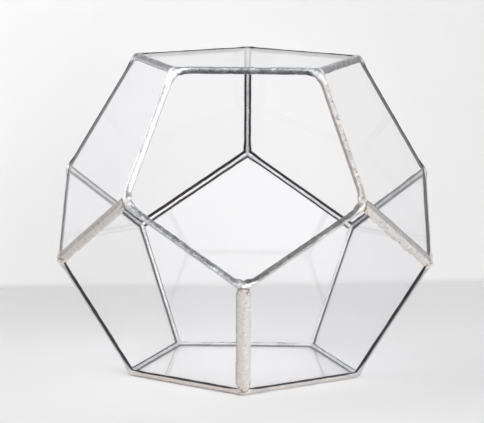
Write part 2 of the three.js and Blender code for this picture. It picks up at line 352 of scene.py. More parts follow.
EVEN = Look()
LOOKS = {
    "B0 L0": Look(width=0.97, sides={"lower_4": 0.08}, toes={"lower_4": 0.45, "lower_0": 0.10}),
    "L4 U4": Look(
        width=0.84, lumps=1.6, sides={"upper_4": 0.60, "lower_4": 0.26},
        toes={"upper_4": 0.35, "lower_4": 0.05},
    ),
    "L1 U0": Look(
        width=0.91, lumps=1.4, cool=0.3, sides={"upper_1": 0.66, "lower_0": 0.16},
        toes={"upper_1": 1.0, "lower_0": 0.0}, rags={"lower_0": 0.0017, "upper_1": 0.0005},
    ),
    "B0 B1": Look(
        width=0.84, warm=0.5, hem=0.0033, hems={"base": 0.0036}, toes={"base": 0.25, "lower_0": 0},
    ),
    # Painted shadow: the base side and toe of this line are painted near black, as a contact shadow
    "B0 B4": Look(
        width=0.84, warm=0.9, hem=0.0034, hems={"base": 0.0037}, sides={"base": 0.9},
        toes={"base": 1.0, "lower_4": 0.0},
    ),
    "B1 B2": Look(width=0.90, hem=0.0032, lumps=1.4, patina=0.10, cool=0.3),
    "B3 B4": Look(hem=0.0035, patina=0.08, lumps=1.4),
    "B2 B3": Look(hem=0.0033, lumps=1.5),
    "B2 L2": Look(width=0.775, hem=0.0024, lumps=1.5),
    "B3 L3": Look(width=0.94, hem=0.0033, lumps=1.6),
    "L3 U3": Look(hem=0.0041, patina=0.10),
    "L2 U1": Look(hem=0.0043, patina=0.36, cool=1.0),
    "B1 L1": Look(width=0.765, sink=0.0006, hem=0.004, lumps=1.8),
    "B4 L4": Look(width=0.765, sink=0.0006, hem=0.004, lumps=1.8),
    # Painted shade: these two lines are darkened to draw dark outlines
    "L1 U1": Look(width=0.765, lumps=1.8, patina=0.6, sink=0.0006, toes={"upper_1": 0.0}),
    "L4 U3": Look(width=0.765, lumps=1.8, patina=0.4, sink=0.0006, hem=0.0031),
    "L3 U2": Look(warm=0.2, hem=0.004),
    "L2 U2": Look(width=0.90, hem=0.0042, hems={"lower_2": 0.0034}),
    "T2 U2": Look(width=0.90, hem=0.0042, lumps=1.4),
    # Painted shade: the front-turned half of these silhouette lines is painted near black
    "T1 U1": Look(
        width=0.88, sink=0.0009, hem=0.003, sides={"upper_1": 1.0, "upper_2": 0.4}, lumps=1.3,
    ),
    "T3 U3": Look(
        width=0.88, sink=0.0009, hem=0.003, sides={"upper_4": 1.0, "upper_3": 0.4}, lumps=1.3,
    ),
    # Tarnish and painted dark reflection darken these two lines of the top
    "T3 T4": Look(
        width=0.80, lumps=3.2, hem=0.0033, sides={"top": 0.55, "upper_4": 0.70},
        toes={"upper_4": 0.35, "top": 0.75},
    ),
    "T0 T1": Look(
        width=0.88, lumps=3.0, hem=0.0035, sides={"top": 0.4, "upper_1": 0.74},
        toes={"upper_1": 0.6, "top": 0.65},
    ),
    # Painted shade: the top half of these back lines is painted near black
    "T1 T2": Look(width=0.765, lumps=1.8, sides={"top": 1.0, "upper_2": 0.4}, sink=0.0002),
    "T2 T3": Look(width=0.765, lumps=1.8, sides={"top": 0.97, "upper_3": 0.4}, sink=0.0002),
    # Tarnish and painted dark reflection: dark bands on the opening's side of these rims
    "T0 T4": Look(
        width=0.87, lumps=1.5, free_tarnish_and_painted_reflection=0.88, cool=0.5, toes={"top": 0.6}, stripe=(1.9, 1.2),
    ),
    "L0 U0": Look(free_tarnish_and_painted_reflection=0.86, warm=0.10, toes={"lower_0": 0.3}),
    "L0 U4": Look(lumps=2.6, patina=0.25, free_tarnish_and_painted_reflection=0.45, cool=0.3),
    "T0 U0": Look(patina=0.32, free_tarnish_and_painted_reflection=0.93, warm=0.4, toes={"upper_1": 0.7}, stripe=(2, 0.6)),
    "T4 U4": Look(lumps=0.7, patina=0.05, free_tarnish_and_painted_reflection=0.1, toes={"upper_4": 0.15}),
}

# The solder network

# Corners where a wide seam ends, where it meets the rim, and where the rim is pale
WIDE_ENDS = {"U4", "U0", "L1", "L4", "B0", "L0"}
RIM_ENDS = {"U4", "U0", "L0"}
PALE_LUMPS = {"U4", "U0"}

# How far from a corner each of these reaches along a bar
JOINT_ZONE = {PLAIN: 0.011, WIDE: 0.0045, RIM: 0.011}
STAIN_ZONE = 0.0045
RUST_ZONE = 0.009
DARKENING_ZONE = 0.004
TINT_ZONE = 0.003
PALE_PANE_ZONE = 0.0065
PALE_FREE_ZONE = 0.0055
CREASE_ZONE = {WIDE: 0.0018, RIM: 0.0012}

# Strengths of the finish there, and of the painted shade along a bead's edges
STAIN = 0.75
PALE_STAIN = 0.85
# How much darker the crease is where a wide seam meets the rim, and the rim beside it
CREASE_DARKENING = 1.4
RIM_END_DARKENING = 0.55
# Painted shade along a bead's edges: its default depth, and its weight by step from the toe
PLAIN_TOE_SHADE = 0.27
TOE_SHADE_STEPS = {OUTER_STEPS: 1.0, OUTER_STEPS - 1: 0.85, OUTER_STEPS - 2: 0.35}

# Unevenness of a bead's edges, of its crest and of its surface
EDGE_SPREAD = {PLAIN: 0.00022, WIDE: 0.00036, RIM: 0.00026}
CREST_SPREAD = 0.00014
CREST_DROP = 0.00012
INNER_SPREAD = 0.16
PROUD_MEAN, PROUD_SPREAD = 0.9, 0.14
AMPLITUDE = {PLAIN: 0.00012, WIDE: 0.00008, RIM: 0.00017}
TOE_CALM = 0.6
INNER_AMPLITUDE = 0.5
RIPPLES = (
    (0.7, (0.11, 0.31, 0.17), 0.0061),
    (0.7, (0.53, 0.07, 0.29), 0.0029),
    (0.6, (0.23, 0.43, 0.61), 0.0016),
)
RIPPLE_DROP = 0.35

# A joint's bead against a plain one, the opening's fillet, and smoothing rounds by zone
JOINT_WIDTH, JOINT_SPREAD, JOINT_INNER_WIDTH = 1.07, 0.00025, 1.25
FILLET_LEAD = 0.0026
FILLET_END = 0.62
MELTS = ((5, 0.0075), (4, 0.0105))
SMOOTH_ANGLE = math.radians(50)


def line_look(names):
    return LOOKS.get(" ".join(sorted(names)), EVEN)


def shift(bm, vec, verts=None):
    bmesh.ops.translate(bm, verts=verts or bm.verts[:], vec=vec)


def turn_round(bm, matrix):
    bmesh.ops.rotate(bm, verts=bm.verts[:], cent=(0, 0, 0), matrix=matrix)


def bar_template(rings):
    """A straight tube along y, from -1 to 1, that every solder bar starts from."""
    bm = bmesh.new()
    bmesh.ops.create_circle(bm, segments=AROUND, radius=1.0)
    turn_round(bm, Matrix.Rotation(math.pi / 2, 3, "X"))
    shift(bm, (0, -1, 0))
    grown = bmesh.ops.extrude_edge_only(bm, edges=bm.edges[:])
    shift(bm, (0, 2, 0), [v for v in grown["geom"] if isinstance(v, bmesh.types.BMVert)])
    long = [e for e in bm.edges if abs(e.verts[0].co.y - e.verts[1].co.y) > 1]
    bmesh.ops.subdivide_edges(bm, edges=long, cuts=rings - 1, use_grid_fill=True)
    mesh = bpy.data.meshes.new("bar_template")
    bm.to_mesh(mesh)
    bm.free()
    return mesh


def wobble(point, offset, scale):
    return noise.noise((point + offset) / scale)


def section(sizes, kind, look, along, point, ways, rags):
    """The 26 points round a bar at one place. "along" is 0 in the middle and 1 at a corner, and
    the ways are the directions of the faces on the plus and the minus side."""
    near = ease(1 - (1 - along) * sizes.edge / 2 / JOINT_ZONE[kind])
    width = look.width * (sizes.bead_reach, sizes.wide_reach, sizes.rim_reach)[kind]
    lump = wobble(point, Vector((0.7, 0.2, 0.4)), 0.014)
    crest = sizes.bead_crest * min(1.0, 3 * look.width - 2) - look.sink
    crest += CREST_SPREAD * lump - CREST_DROP
    halves = []
    for way, rag in zip(ways, rags):
        hem = wobble(point, way * 3.1, 0.011) + 0.5 * wobble(point, way * 5.3, 0.004)
        reach = width + rag * wobble(point, way * 7.7, 0.0026) + EDGE_SPREAD[kind] * hem
        goal = seam_half(
            sizes, sizes.bead_reach * JOINT_WIDTH + JOINT_SPREAD * hem, sizes.bead_crest,
            sizes.inner_reach * JOINT_INNER_WIDTH,
        )
        if kind == RIM:
            proud = sizes.rim_proud * (PROUD_MEAN + PROUD_SPREAD * lump)
            pane, opening = rim_halves(sizes, reach, proud)
            own = pane
            if way is ways[1]:
                own, goal = opening, joint_opening(goal[0].y, goal[-1].y)
        else:
            own = seam_half(sizes, reach, crest, sizes.inner_reach * (1 + INNER_SPREAD * hem))
        halves.append(blend(own, goal, near))
    front, back = halves
    if kind == RIM:
        back = [Vector((-p.x, p.y)) for p in back]
    return front + [Vector((-p.x, p.y)) for p in back[-2:0:-1]]


def opening_fillet(sizes, along_line):
    """How far the rim steps into the opening, to round its corner."""
    radius = sizes.opening_corner
    start = sizes.edge / 2 - radius / math.tan(HALF_CORNER) - FILLET_LEAD
    past = max(0.0, min(along_line - start, radius * FILLET_END))
    return radius - math.sqrt(radius ** 2 - past ** 2)


def solder_finish(kind, look, side_shade_and_tarnish, toes, k, from_end, corner):
    """Dullness, lump height, patina (tarnish and painted shade) and tint of point k of a section,
    so far from a corner.
    """
    step = min(k, AROUND - k)
    on_free_side = kind == RIM and k > HALF
    dull = crease = free = 0.0
    if kind == WIDE:
        dull = STAIN + (1 - STAIN) * ease(from_end / STAIN_ZONE)
        crease = float(corner in RIM_ENDS)
    elif kind == PLAIN and corner in WIDE_ENDS:
        dull = STAIN * (1 - ease(from_end / STAIN_ZONE))
    elif on_free_side and corner in PALE_LUMPS:
        dull = PALE_STAIN * (1 - ease(step / OUTER_STEPS)) * (1 - ease(from_end / PALE_FREE_ZONE))
    elif kind == RIM and k <= HALF and corner in RIM_ENDS:
        dull = PALE_STAIN * ease(step / 2) * (1 - ease(from_end / PALE_PANE_ZONE))
        crease = ease(step)
    if crease:
        crease *= CREASE_DARKENING * (1 - ease(from_end / CREASE_ZONE[kind]))
    if on_free_side:
        free = 1.0
    elif step < OUTER_STEPS:
        free = 1.0 - TOE_CALM * ease(step / OUTER_STEPS)
    elif step > HALF - INNER_STEPS:
        free = INNER_AMPLITUDE
    shade_and_tarnish = max(side_shade_and_tarnish) if step == 0 else side_shade_and_tarnish[k > HALF]
    # The opening's side of a rim: tarnish and painted dark reflection, in a band or a stripe
    if on_free_side:
        turned = math.pi * (AROUND - k) / HALF
        weight = ease(1.6 * math.sin(turned))
        if look.stripe:
            middle, half_width = look.stripe
            weight = ease(1.5 - 1.5 * abs(turned - middle) / half_width)
        shade_and_tarnish += (look.free_tarnish_and_painted_reflection - shade_and_tarnish) * weight
    # Painted shade along the bead's edges, near its toes
    elif step in TOE_SHADE_STEPS:
        shade_and_tarnish += (toes[k > HALF] - shade_and_tarnish) * TOE_SHADE_STEPS[step]
    fade = ease(from_end / DARKENING_ZONE)
    if kind == RIM:
        fade = RIM_END_DARKENING + (1 - RIM_END_DARKENING) * fade
    tint = (look.warm - look.cool) * ease(from_end / TINT_ZONE)
    if kind == WIDE:
        rust = 1 - ease(from_end / RUST_ZONE)
        tint = rust - look.cool * (1 - rust)
    return dull, free * AMPLITUDE[kind] * look.lumps, shade_and_tarnish * fade + crease, tint


def add_bar(bm, template, sizes, kind, names, sides, places, layers):
    """Adds one solder bar between two corners, with mitred ends."""
    start, end = (places[n] for n in names)
    ways = {f: sum((places[n] for n in faces()[f]), Vector()).normalized() for f in sides}
    outwards = (start + end).normalized()
    y_axis = (end - start).normalized()
    x_axis = y_axis.cross(outwards)
    plus, minus = sides
    if x_axis.dot(ways[plus]) < 0:
        plus, minus = minus, plus
    if plus == OPENING:
        y_axis, x_axis, plus, minus = -y_axis, -x_axis, minus, plus
        start, end = end, start
    sides = (plus, minus)
    radius = mid_radius(sizes)
    turn = Matrix((x_axis, y_axis, outwards)).transposed()
    into_opening = Vector((-math.sin(HALF_DIHEDRAL), -math.cos(HALF_DIHEDRAL)))
    before = len(bm.verts)
    bm.from_mesh(template)
    bm.verts.ensure_lookup_table()
    rings = {}
    for v in bm.verts[before:]:
        rings.setdefault(round(v.co.y, 5), []).append(v)
    look = line_look(names)
    rags = [look.rags.get(face, 0.0) for face in sides]
    # Each side's darkening: tarnish mixed with painted shade
    side_shade_and_tarnish = [look.sides.get(face, look.patina) for face in sides]
    toes = [look.toes.get(face, max(shade_and_tarnish, PLAIN_TOE_SHADE)) for face, shade_and_tarnish in zip(sides, side_shade_and_tarnish)]
    for t, ring in rings.items():
        point = start.lerp(end, (t + 1) / 2)
        outline = section(sizes, kind, look, abs(t), point, [ways[f] for f in sides], rags)
        from_end = (1 - abs(t)) * sizes.edge / 2
        corner = min(names, key=lambda n: (point - places[n]).length)
        for v in ring:
            k = round((math.pi / 2 - math.atan2(v.co.z, v.co.x)) / (2 * math.pi) * AROUND) % AROUND
            p = outline[k].copy()
            if kind == RIM and k > HALF:
                side = math.sin(math.pi * (AROUND - k) / HALF)
                p += into_opening * opening_fillet(sizes, abs(t) * sizes.edge / 2) * side
            reach = (radius + p.y - GOLDEN * abs(p.x)) * sizes.edge / 2 / radius
            v.co = turn @ Vector((p.x, t * reach, radius + p.y))
            finish = solder_finish(kind, look, side_shade_and_tarnish, toes, k, from_end, corner)
            for layer, value in zip(layers, finish):
                v[layer] = value


def melt_corners(bm, places, amount):
    """Rounds the creases where three bars meet, between their toes."""
    for rounds, zone in MELTS:
        soft = [
            v for v in bm.verts
            if v[amount] > 0 and min((v.co - c).length for c in places.values()) < zone
        ]
        for _ in range(rounds):
            bmesh.ops.smooth_vert(
                bm, verts=soft, factor=0.5, use_axis_x=True, use_axis_y=True, use_axis_z=True,
            )


def lump_solder(bm, amount):
    """Ripples and lumps along the vertex normals, mostly inwards."""
    bm.normal_update()
    moves = []
    for v in bm.verts:
        if v[amount] > 0:
            height = sum(size * wobble(v.co, Vector(at), scale) for size, at, scale in RIPPLES)
            moves.append((v, v.normal * (v[amount] * (height - RIPPLE_DROP))))
    for v, move in moves:
        v.co += move


def keep_in_box(bm):
    low, high = CAD_BOX
    for v in bm.verts:
        v.co = Vector(max(low[i], min(high[i], v.co[i])) for i in range(3))


def solder_network(sizes):
    """The whole run of solder as one welded mesh, with its kinds and its normals stored on it."""
    ready = bpy.data.meshes.get("solder_network")
    if ready:
        return ready
    template = bar_template(sizes.rings)
    places = corners(sizes)
    bm = bmesh.new()
    layers = [bm.verts.layers.float.new(name) for name in ("dull", "lumps", "patina", "warm")]
    amount = layers[1]
    kinds = bm.faces.layers.int.new("kind")
    for names, sides in lines().items():
        kind = RIM if OPENING in sides else WIDE if set(names) in WIDE_LINES else PLAIN
        before = len(bm.faces)
        add_bar(bm, template, sizes, kind, names, sides, places, layers)
        bm.faces.ensure_lookup_table()
        for f in bm.faces[before:]:
            f[kinds] = kind
    bmesh.ops.remove_doubles(bm, verts=[v for v in bm.verts if v.is_boundary], dist=0.00002)
    bmesh.ops.recalc_face_normals(bm, faces=bm.faces[:])
    melt_corners(bm, places, amount)
    lump_solder(bm, amount)
    shift(bm, centre(sizes))
    keep_in_box(bm)
    for e in bm.edges:
        e.smooth = len(e.link_faces) == 2 and e.calc_face_angle(0) < SMOOTH_ANGLE
    for f in bm.faces:
        f.smooth = True
    mesh = bpy.data.meshes.new("solder_network")
    bm.to_mesh(mesh)
    bm.free()
    flow = [0.0] * (3 * len(mesh.loops))
    mesh.corner_normals.foreach_get("vector", flow)
    mesh.attributes.new("flow", "FLOAT_VECTOR", "CORNER").data.foreach_set("vector", flow)
    bpy.data.meshes.remove(template)
    return mesh


def solder_piece(context, name, kind, nodes):
    """Takes one kind of bar out of the network, closes its cut ends and puts it in the scene."""
    bm = bmesh.new()
    bm.from_mesh(solder_network(context.scene.terrarium_sizes))
    kinds = bm.faces.layers.int["kind"]
    bmesh.ops.delete(bm, geom=[f for f in bm.faces if f[kinds] != kind], context="FACES")
    bmesh.ops.holes_fill(bm, edges=[e for e in bm.edges if e.is_boundary], sides=0)
    bmesh.ops.triangulate(bm, faces=[f for f in bm.faces if len(f.verts) > 4])
    solder = make_material("Tin solder", solder_shader, context.scene.terrarium_finishes)
    piece = new_piece(context, name, bm, solder)
    mesh = piece.data
    mesh.normals_split_custom_set([loop.vector for loop in mesh.attributes["flow"].data])
    for spare in ("flow", "lumps", "kind"):
        mesh.attributes.remove(mesh.attributes[spare])
    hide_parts(*nodes)


def new_object(context, name, bm, material):
    mesh = bpy.data.meshes.new(name)
    bm.to_mesh(mesh)
    bm.free()
    mesh.materials.append(material)
    made = bpy.data.objects.new(name, mesh)
    context.scene.collection.objects.link(made)
    return made


def new_piece(context, name, bm, material):
    """An object that rides on the terrarium's one body."""
    piece = new_object(context, name, bm, material)
    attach(piece, next(iter(frame["bodies"])))
    return piece


# Shader helpers


def opaque(rgb, factor=1.0):
    return (*(factor * c for c in rgb), 1.0)


class Wiring:
    """Short words for adding and joining the nodes of one tree."""

    def __init__(self, tree):
        self.tree = tree

    def put(self, socket, value):
        if isinstance(value, bpy.types.NodeSocket):
            self.tree.links.new(value, socket)
        else:
            socket.default_value = value

    def node(self, kind, *values, settings=None, **inputs):
        """Adds a node. Its first inputs may be given in their order, the others by their names."""
        made = self.tree.nodes.new("ShaderNode" + kind)
        for key, value in (settings or {}).items():
            setattr(made, key, value)
        for i, value in enumerate(values):
            self.put(made.inputs[i], value)
        for key, value in inputs.items():
            self.put(made.inputs[key.replace("_", " ")], value)
        return made

    def math(self, operation, a, b):
        return self.node("Math", a, b, settings={"operation": operation}).outputs[0]

    def times(self, a, b):
        return self.math("MULTIPLY", a, b)

    def plus(self, a, b):
        return self.math("ADD", a, b)

    def minus(self, a, b):
        return self.math("SUBTRACT", a, b)

    def larger(self, a, b):
        return self.math("MAXIMUM", a, b)

    def mix(self, factor, a, b, blend_type="MIX"):
        settings = {"data_type": "RGBA", "blend_type": blend_type}
        return self.node("Mix", settings=settings, Factor=factor, A=a, B=b).outputs["Result"]

    def ramp(self, value, low, high, to_low=0.0, to_high=1.0):
        settings = {"interpolation_type": "SMOOTHSTEP"}
        made = self.node("MapRange", value, low, high, to_low, to_high, settings=settings)
        return made.outputs["Result"]

    def noise(self, place, scale, detail=3.0, roughness=0.5):
        made = self.node("TexNoise", Vector=place, Scale=scale, Detail=detail, Roughness=roughness)
        return made.outputs["Fac"]

    def place(self):
        return self.node("TexCoord").outputs["Object"]

    def attribute(self, name):
        return self.node("Attribute", settings={"attribute_name": name}).outputs["Fac"]

    def bump(self, strength, distance, height):
        made = self.node("Bump", Strength=strength, Distance=distance, Height=height)
        return made.outputs["Normal"]

    def effect(self, group, **inputs):
        """Places a node group and gives its outputs, by name."""
        return self.node("Group", settings={"node_tree": group}, **inputs).outputs


def make_material(name, fill, look):
    """The material of that name. "fill" wires it and gives its last shader node."""
    material = bpy.data.materials.get(name) or bpy.data.materials.new(name)
    material.use_nodes = True
    material.node_tree.nodes.clear()
    w = Wiring(material.node_tree)
    w.node("OutputMaterial", fill(w, w.place(), look).outputs[0])
    return material


def shader_group(name, defaults, fill):
    """The node group of that name, built when first asked for. It takes a Vector and the numbers
    that have defaults, and "fill" wires them and gives the outputs by name."""
    group = bpy.data.node_groups.get(name)
    if group:
        return group
    group = bpy.data.node_groups.new(name, "ShaderNodeTree")
    w = Wiring(group)
    new_socket = group.interface.new_socket
    new_socket(name="Vector", in_out="INPUT", socket_type="NodeSocketVector")
    for label, default in defaults.items():
        socket = new_socket(name=label, in_out="INPUT", socket_type="NodeSocketFloat")
        socket.default_value = default
    source = group.nodes.new("NodeGroupInput")
    made = fill(w, *(source.outputs[label] for label in ("Vector", *defaults)))
    for label in made:
        new_socket(name=label, in_out="OUTPUT", socket_type="NodeSocketFloat")
    sink = group.nodes.new("NodeGroupOutput")
    for label, value in made.items():
        w.put(sink.inputs[label], value)
    return group


def fill_patches(w, place, size, contrast):
    scale = w.math("DIVIDE", 1.0, size)
    low, high = w.minus(0.5, contrast), w.plus(0.5, contrast)
    wide = w.noise(place, scale, 4.0)
    fine = w.noise(place, w.times(scale, 6.0), 3.0, 0.6)
    return {"Mask": w.ramp(wide, low, high), "Fine": w.ramp(fine, low, high)}


def patches(w, place, size, contrast):
    """Soft patches at two scales, as masks from 0 to 1."""
    group = shader_group("Patches", {"Size": 0.01, "Contrast": 0.15}, fill_patches)
    return w.effect(group, Vector=place, Size=size, Contrast=contrast)


def fill_pits(w, place, size, amount):
    scale = w.math("DIVIDE", 1.0, size)
    cells = w.node("TexVoronoi", settings={"feature": "F1"}, Vector=place, Scale=scale)
    where = w.noise(place, w.times(scale, 0.31), 2.0)
    wanted = w.ramp(where, w.minus(0.72, amount), 0.78)
    mask = w.times(w.ramp(cells.outputs["Distance"], 0.12, 0.34, 1.0, 0.0), wanted)
    rise = w.noise(place, w.times(scale, 0.8), 3.0)
    return {"Mask": mask, "Height": w.minus(rise, mask)}


def pits(w, place, size, amount):
    """Round pits of one size, as a mask and as a height for bump."""
    group = shader_group("Pits", {"Size": 0.001, "Amount": 0.3}, fill_pits)
    return w.effect(group, Vector=place, Size=size, Amount=amount)


# Finishes

GLASS_IOR = 1.37
GLASS_HAZE = 0.035
HAZE_TINT = 0.988
FOIL_METAL = 0.7
COPPER_SHARE = 0.35

# Shares of each effect in the solder's colours, metal and roughness
MOTTLE_DARK, WARM_FILM = 0.75, 0.9
DULL_GRAIN, OLD_GRAIN, SHADE_AND_TARNISH_FILM = 0.20, 0.8, 0.7
PIT_DIRT, STAIN_RUST, FLECK_RUST = 0.55, 0.6, 0.8
DULL_METAL, BLACK_METAL = 0.34, 0.05
ROUGH_SPREAD, ROUGH_DULL = 0.14, 0.30


def glass_shader(w, place, look):
    haze = w.times(patches(w, place, 0.055, 0.12)["Mask"], patches(w, place, 0.009, 0.05)["Fine"])
    tone = w.mix(haze, opaque(look.glass_tint), opaque(look.glass_tint, HAZE_TINT))
    # Painted shade: each pane's own grey amount darkens its colour
    glass = w.node(
        "BsdfPrincipled",
        Base_Color=w.mix(w.attribute("grey"), tone, opaque(look.glass_painted_shade)),
        Roughness=w.times(haze, GLASS_HAZE),
        IOR=GLASS_IOR,
        Transmission_Weight=1.0,
    ).outputs[0]
    shade = w.node("BsdfTransparent", Color=(0.98, 0.98, 0.98, 1.0)).outputs[0]
    in_shadow = w.node("LightPath").outputs["Is Shadow Ray"]
    return w.node("MixShader", in_shadow, glass, shade)


def foil_shader(w, place, look):
    tint, crease = patches(w, place, 0.018, 0.10), patches(w, place, 0.0035, 0.20)
    red, green, blue = look.foil
    bluish = opaque((red * 0.9, green * 1.1, blue * 1.5))
    copper = w.times(w.ramp(tint["Fine"], 0.75, 0.95), COPPER_SHARE)
    dark = w.mix(tint["Mask"], opaque(look.foil), bluish)
    return w.node(
        "BsdfPrincipled",
        Base_Color=w.mix(copper, dark, opaque(look.foil_copper)),
        Metallic=FOIL_METAL,
        Roughness=w.ramp(crease["Mask"], 0.0, 1.0, 0.28, 0.46),
        Normal=w.bump(0.35, 0.0002, crease["Fine"]),
    )


def bright_tone(w, look, place, mottle, tarnish, warm):
    """The bright solder's colour: mottled, darkened line by line by tarnish and painted shade, with
    a warm film.
    """
    patina = w.times(patches(w, place, 0.016, 0.16)["Mask"], mottle["Fine"])
    tone = w.mix(w.times(patina, MOTTLE_DARK), opaque(look.solder), opaque(look.solder_dark))
    tone = w.mix(tarnish, tone, opaque(look.solder_tarnish_and_shade))
    return w.mix(w.times(w.larger(warm, 0.0), WARM_FILM), tone, opaque(look.solder_warm))


def dull_tone(w, look, place, chalk, grain, holes, old, tarnish, warm):
    """The dull solder's colour: chalky, with grain, dirty pits, tarnish and painted shade, and rust
    towards its ends.
    """
    tone = w.mix(chalk, opaque(look.dull_solder, 0.97), opaque(look.dull_solder, 1.03))
    specks = w.times(w.times(grain["Fine"], old), OLD_GRAIN)
    specks = w.plus(w.times(grain["Mask"], DULL_GRAIN), specks)
    tone = w.mix(w.plus(specks, w.times(tarnish, SHADE_AND_TARNISH_FILM)), tone, opaque(look.dull_tarnish_and_shade))
    tone = w.mix(w.times(holes, PIT_DIRT), tone, opaque(look.solder_dark))
    ends = w.ramp(warm, 0.1, 0.65)
    stains = w.plus(w.times(ends, 1 - STAIN_RUST), STAIN_RUST)
    stains = w.times(pits(w, place, 0.0034, 0.36)["Mask"], stains)
    flecks = w.times(w.ramp(w.noise(place, 620.0, 2.0), 0.52, 0.60), ends)
    rust = w.larger(stains, w.times(flecks, FLECK_RUST))
    return w.mix(rust, tone, opaque(look.rust))


def solder_shader(w, place, look):
    """Solder that goes from bright to dull with the piece's dull attribute."""
    old, warm = w.attribute("patina"), w.attribute("warm")
    edge = w.noise(place, 420.0, 3.0)
    dull = w.ramp(w.plus(w.attribute("dull"), w.times(edge, 0.7)), 0.55, 0.85)
    mottle, grain = patches(w, place, 0.0045, 0.18), patches(w, place, 0.0022, 0.16)
    holes = pits(w, place, 0.0011, 0.34)
    blotches = w.plus(w.times(edge, 4.0), w.times(mottle["Mask"], 1.2))
    blotches = w.times(w.minus(blotches, 2.6), 0.75)
    # The patina attribute is tarnish mixed with painted shade; near black it is mostly painted
    # shade
    mid_tarnish_and_shade = w.times(old, w.minus(1.0, old))
    tarnish = w.plus(old, w.times(mid_tarnish_and_shade, blotches))
    black_shade_and_tarnish = w.ramp(old, 0.86, 0.98)
    tone = w.mix(
        dull, bright_tone(w, look, place, mottle, tarnish, warm),
        dull_tone(w, look, place, mottle["Mask"], grain, holes["Mask"], old, tarnish, warm),
    )
    cool = w.larger(w.times(warm, -1.0), 0.0)
    rough = w.ramp(mottle["Fine"], 0.0, 1.0, look.shine, look.shine + ROUGH_SPREAD)
    rise = w.times(w.plus(holes["Height"], grain["Mask"]), dull)
    ripple = w.times(mottle["Fine"], w.plus(w.times(old, 1.5), 1.0))
    return w.node(
        "BsdfPrincipled",
        Base_Color=w.mix(cool, tone, opaque(look.solder_cool), "MULTIPLY"),
        Metallic=w.times(
            w.ramp(dull, 0.0, 1.0, 1.0, DULL_METAL), w.ramp(black_shade_and_tarnish, 0.0, 1.0, 1.0, BLACK_METAL),
        ),
        Roughness=w.plus(rough, w.times(w.larger(dull, black_shade_and_tarnish), ROUGH_DULL)),
        Specular_IOR_Level=0.0,
        Normal=w.bump(0.35, 0.00025, w.plus(rise, ripple)),
    )


# Foil

FOIL_GAP = 0.00001
FOIL_COVER = 0.0004
HEM_CUTS = 35
OUTER_WAVE, INNER_WAVE = 0.00012, 0.00042


def pull_hem(hem, sides, line):
    """Moves the vertices of a hem that lie beyond "line". Each side is a direction and how far it
    moves, and a corner follows both of its sides."""
    overlap = math.cos(2 * math.pi / SIDES)
    for v in hem:
        near = [(way, out) for way, out in sides if v.co.xy.dot(way) > line]
        if len(near) == 1:
            v.co.xy += near[0][0] * near[0][1]
        elif near:
            (way, out), (other_way, other_out) = near
            v.co.xy += way * (out - overlap * other_out) / (1 - overlap ** 2)
            v.co.xy += other_way * (other_out - overlap * out) / (1 - overlap ** 2)


def wave_hem(hem, turn, spread):
    for v in hem:
        wave = wobble(turn @ v.co, Vector((0.9, 0.3, 0.6)), 0.009)
        wave += 0.5 * wobble(turn @ v.co, Vector((0.2, 0.8, 0.5)), 0.0035)
        v.co -= Vector((v.co.x, v.co.y, 0)).normalized() * spread * wave


def foil_border(context, face, names, material):
    """A strip of foil folded round one pane's edge, with uneven hems."""
    sizes = context.scene.terrarium_sizes
    places = corners(sizes)
    outwards = sum((places[n] for n in names), Vector()).normalized()
    first = places[names[0]]
    y_axis = (first - outwards * first.dot(outwards)).normalized()
    turn = Matrix((y_axis.cross(outwards), y_axis, outwards)).transposed()
    apothem = sizes.edge / 2 * math.tan(HALF_CORNER)
    edge, low = sizes.pane_inset - FOIL_GAP, sizes.glass + FOIL_GAP
    wrap = [(sizes.foil_outer, -FOIL_GAP), (edge, -FOIL_GAP), (edge, low), (sizes.foil_inner, low)]
    bm = bmesh.new()
    radii = [(apothem - inset) / math.sin(HALF_CORNER) for inset, _ in wrap]
    bmesh.ops.create_circle(bm, segments=SIDES, radius=radii[0])
    shift(bm, (0, 0, face_radius(sizes) + FOIL_GAP))
    ring = bm.edges[:]
    for before, after, (_, upper), (_, lower) in zip(radii, radii[1:], wrap, wrap[1:]):
        grown = bmesh.ops.extrude_edge_only(bm, edges=ring)["geom"]
        ring = [e for e in grown if isinstance(e, bmesh.types.BMEdge)]
        made = list({v for e in ring for v in e.verts})
        bmesh.ops.scale(bm, verts=made, vec=(after / before, after / before, 1.0))
        shift(bm, (0, 0, upper - lower), made)
    long = [
        e for e in bm.edges
        if abs(e.verts[0].co.z - e.verts[1].co.z) < 1e-7 and e.calc_length() > sizes.edge / 2
    ]
    bmesh.ops.subdivide_edges(bm, edges=long, cuts=HEM_CUTS, use_grid_fill=True)
    middle_height = face_radius(sizes) - sizes.glass / 2
    hems = [v for v in bm.verts if v.is_boundary]
    outer = [v for v in hems if v.co.z > middle_height]
    inner = [v for v in hems if v.co.z < middle_height]
    cover = sizes.foil_outer - sizes.pane_inset - FOIL_COVER
    inside, outside = [], []
    for a, b in zip(names, names[1:] + names[:1]):
        way = (turn.transposed() @ (places[a] + places[b])).xy.normalized()
        look = line_look((a, b))
        wanted = look.hems.get(face, look.hem or sizes.foil_inner)
        inside.append((way, sizes.foil_inner - wanted))
        outside.append((way, min(cover, sizes.bead_reach * (1 - look.width))))
    pull_hem(inner, inside, apothem - sizes.foil_inner - FOIL_GAP)
    pull_hem(outer, outside, apothem - sizes.foil_outer - FOIL_GAP)
    wave_hem(outer, turn, OUTER_WAVE)
    wave_hem(inner, turn, INNER_WAVE)
    bmesh.ops.recalc_face_normals(bm, faces=bm.faces[:])
    bmesh.ops.solidify(bm, geom=bm.faces[:], thickness=sizes.foil)
    bmesh.ops.recalc_face_normals(bm, faces=bm.faces[:])
    turn_round(bm, turn)
    shift(bm, centre(sizes))
    piece = new_piece(context, f"foil_strip_{face}", bm, material)
    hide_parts(f"foil_{face}")


# Operators

